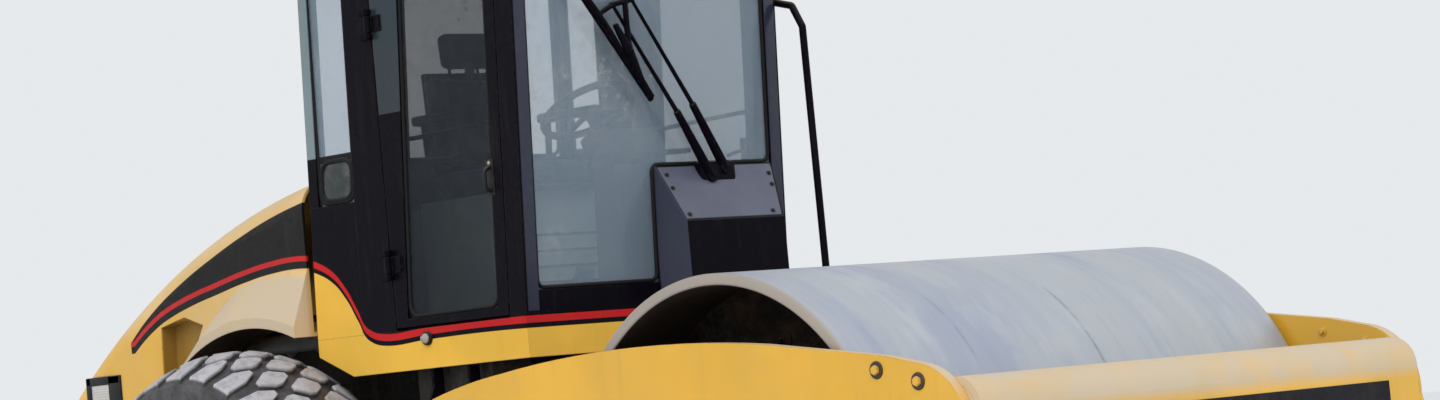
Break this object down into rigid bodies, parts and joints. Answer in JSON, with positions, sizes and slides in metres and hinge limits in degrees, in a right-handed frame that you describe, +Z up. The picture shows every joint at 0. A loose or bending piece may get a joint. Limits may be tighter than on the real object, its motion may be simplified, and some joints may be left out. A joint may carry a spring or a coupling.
{
  "type": "single drum road roller",
  "caption": "Ride-on soil compactor with a smooth steel drum in a front yoke frame, a glazed cab, a tilting engine hood, wide rear tyres and an articulated hitch.",
  "frame": {"origin": "on the ground, under the middle of the machine's length and width", "axes": "+X forward, towards the drum, +Y to the driver's left, +Z up"},
  "size_m": [5.8298, 2.3, 3.07],
  "materials": {
    "yellow_paint": "semi-gloss yellow paint, dusty",
    "dark_casting": "satin dark paint",
    "black_paint": "semi-gloss black paint",
    "drum_steel": "worn rolled steel",
    "drum_inside": "matt dark primer",
    "bright_rod": "polished",
    "tinted_glass": "clear, lightly tinted",
    "tread_rubber": "dusty block tread",
    "rim_paint": "semi-gloss yellow paint",
    "seat_cloth": "matt woven cover",
    "cab_plastic": "grained",
    "lamp_lens": "clear lens in a dark case"
  },
  "bodies": {
    "tractor": {"hitch_frame": "dark_casting", "chassis_rails": "dark_casting", "rear_axle": "dark_casting", "engine_block": "dark_casting", "counterweight": "dark_casting", "tow_eye": "dark_casting", "side_tanks": "dark_casting", "steps": "black_paint", "hood_hinge": "dark_casting", "cab_base": "yellow_paint", "cab_pillars": "black_paint", "cab_rear_wall": "black_paint", "front_sill": "black_paint", "console_box": "black_paint", "roof": "black_paint", "windscreen": "tinted_glass", "rear_glass": "tinted_glass", "work_lamps": "lamp_lens", "hand_rail": "black_paint", "door_hinges": "black_paint", "seat_pedestal": "cab_plastic", "seat": "seat_cloth", "steering_column": "cab_plastic"},
    "yoke": {"hitch_yoke": "dark_casting"},
    "drum_frame": {"side_plate_left": "yellow_paint", "side_plate_right": "yellow_paint", "front_beam": "yellow_paint", "rear_beam": "yellow_paint", "drum_carriers": "dark_casting", "scrapers": "dark_casting"},
    "drum": {"drum_shell": "drum_steel", "drum_heads": "drum_inside"},
    "barrel_left": {"steering_barrel_left": "dark_casting"},
    "barrel_right": {"steering_barrel_right": "dark_casting"},
    "rod_left": {"steering_rod_left": "bright_rod"},
    "rod_right": {"steering_rod_right": "bright_rod"},
    "door_left": {"door_frame_left": "black_paint", "door_glass_left": "tinted_glass"},
    "door_right": {"door_frame_right": "black_paint", "door_glass_right": "tinted_glass"},
    "hood": {"hood_shell": "yellow_paint", "rear_grille": "cab_plastic", "tail_lamps": "lamp_lens"},
    "wheel_left": {"tyre_left": "tread_rubber", "rim_left": "rim_paint"},
    "wheel_right": {"tyre_right": "tread_rubber", "rim_right": "rim_paint"}
  },
  "joints": [
    {"name": "steering", "type": "hinge", "parent": "tractor", "child": "yoke", "pos_m": [0.26493, 0, 0.75], "axis": [0, 0, 1], "range_deg": [-34, 34]},
    {"name": "oscillation", "type": "hinge", "parent": "yoke", "child": "drum_frame", "pos_m": [0.56493, 0, 0.75], "axis": [-1, 0, 0], "range_deg": [-15, 15]},
    {"name": "drum_roll", "type": "hinge", "parent": "drum_frame", "child": "drum", "pos_m": [1.71493, 0, 0.767], "axis": [0, 1, 0], "continuous": true},
    {"name": "wheel_left_roll", "type": "hinge", "parent": "tractor", "child": "wheel_left", "pos_m": [-1.21507, 0.82, 0.74], "axis": [0, 1, 0], "continuous": true},
    {"name": "wheel_right_roll", "type": "hinge", "parent": "tractor", "child": "wheel_right", "pos_m": [-1.21507, -0.82, 0.74], "axis": [0, 1, 0], "continuous": true},
    {"name": "door_left_swing", "type": "hinge", "parent": "tractor", "child": "door_left", "pos_m": [-0.39707, 0.676, 2.1], "axis": [0, 0, 1], "range_deg": [0, 90]},
    {"name": "door_right_swing", "type": "hinge", "parent": "tractor", "child": "door_right", "pos_m": [-0.39707, -0.676, 2.1], "axis": [0, 0, -1], "range_deg": [0, 90]},
    {"name": "hood_tilt", "type": "hinge", "parent": "tractor", "child": "hood", "pos_m": [-0.94007, 0, 2.038], "axis": [0, 1, 0], "range_deg": [0, 50]},
    {"name": "barrel_left_swing", "type": "hinge", "parent": "tractor", "child": "barrel_left", "pos_m": [-0.23507, 0.33, 0.72], "axis": [0, 0, 1], "range_deg": [-6, 6]},
    {"name": "rod_left_slide", "type": "slide", "parent": "barrel_left", "child": "rod_left", "axis": [0.9925, -0.1222, 0], "range_m": [-0.156, 0.156]},
    {"name": "barrel_right_swing", "type": "hinge", "parent": "tractor", "child": "barrel_right", "pos_m": [-0.23507, -0.33, 0.72], "axis": [0, 0, 1], "range_deg": [-6, 6]},
    {"name": "rod_right_slide", "type": "slide", "parent": "barrel_right", "child": "rod_right", "axis": [0.9925, 0.1222, 0], "range_m": [-0.156, 0.156]}
  ],
  "couplings": [
    {"joint": "barrel_left_swing", "follows": "steering", "ratio": 0.1551},
    {"joint": "rod_left_slide", "follows": "steering", "m_per_rad": -0.25739},
    {"joint": "barrel_right_swing", "follows": "steering", "ratio": 0.1551},
    {"joint": "rod_right_slide", "follows": "steering", "m_per_rad": 0.25739}
  ]
}
